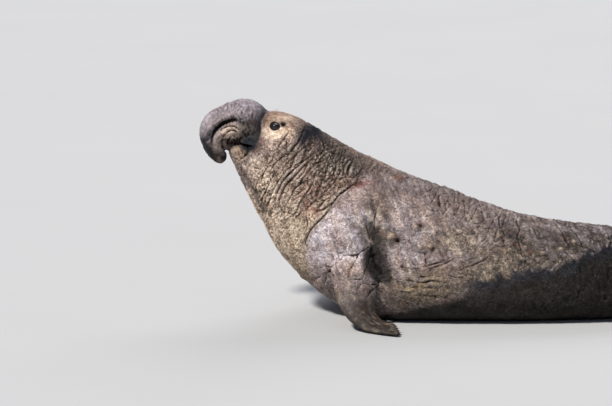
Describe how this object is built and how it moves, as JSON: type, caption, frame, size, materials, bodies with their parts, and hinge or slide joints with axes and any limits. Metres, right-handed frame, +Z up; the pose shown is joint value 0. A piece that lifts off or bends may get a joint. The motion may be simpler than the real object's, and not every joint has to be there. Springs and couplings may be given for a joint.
{
  "type": "elephant seal",
  "caption": "Life-size bull northern elephant seal lying on its belly, chest and head reared up, the curled proboscis hanging over the mouth.",
  "frame": {"origin": "on the floor, under the middle of the bounding box", "axes": "+X from the snout to the tail, -Y to the seal's left side, +Z up"},
  "size_m": [4.1179, 1.7308, 1.486],
  "materials": {
    "nose_skin": "bare grey-mauve skin, finely wrinkled",
    "face_skin": "short golden-tan fur",
    "shield_skin": "thick creased and scarred pinkish-tan skin",
    "flank_skin": "short grey-brown fur dusted with sand",
    "flipper_skin": "dark bare skin",
    "eye": "wet near-black gloss",
    "nail": "dark horn"
  },
  "bodies": {
    "root": {"proboscis": "nose_skin", "lower_jaw": "face_skin", "head": "face_skin", "neck": "shield_skin", "chest": "shield_skin", "trunk": "flank_skin", "hips": "flank_skin", "rump": "flank_skin", "tail": "flank_skin", "fore_flipper_left": "flipper_skin", "fore_flipper_right": "flipper_skin", "hind_flipper_left": "flipper_skin", "hind_flipper_right": "flipper_skin", "eye_left": "eye", "eye_right": "eye", "nail_left_1": "nail", "nail_left_2": "nail", "nail_left_3": "nail", "nail_left_4": "nail", "nail_left_5": "nail", "nail_right_1": "nail", "nail_right_2": "nail", "nail_right_3": "nail", "nail_right_4": "nail", "nail_right_5": "nail"}
  },
  "joints": []
}
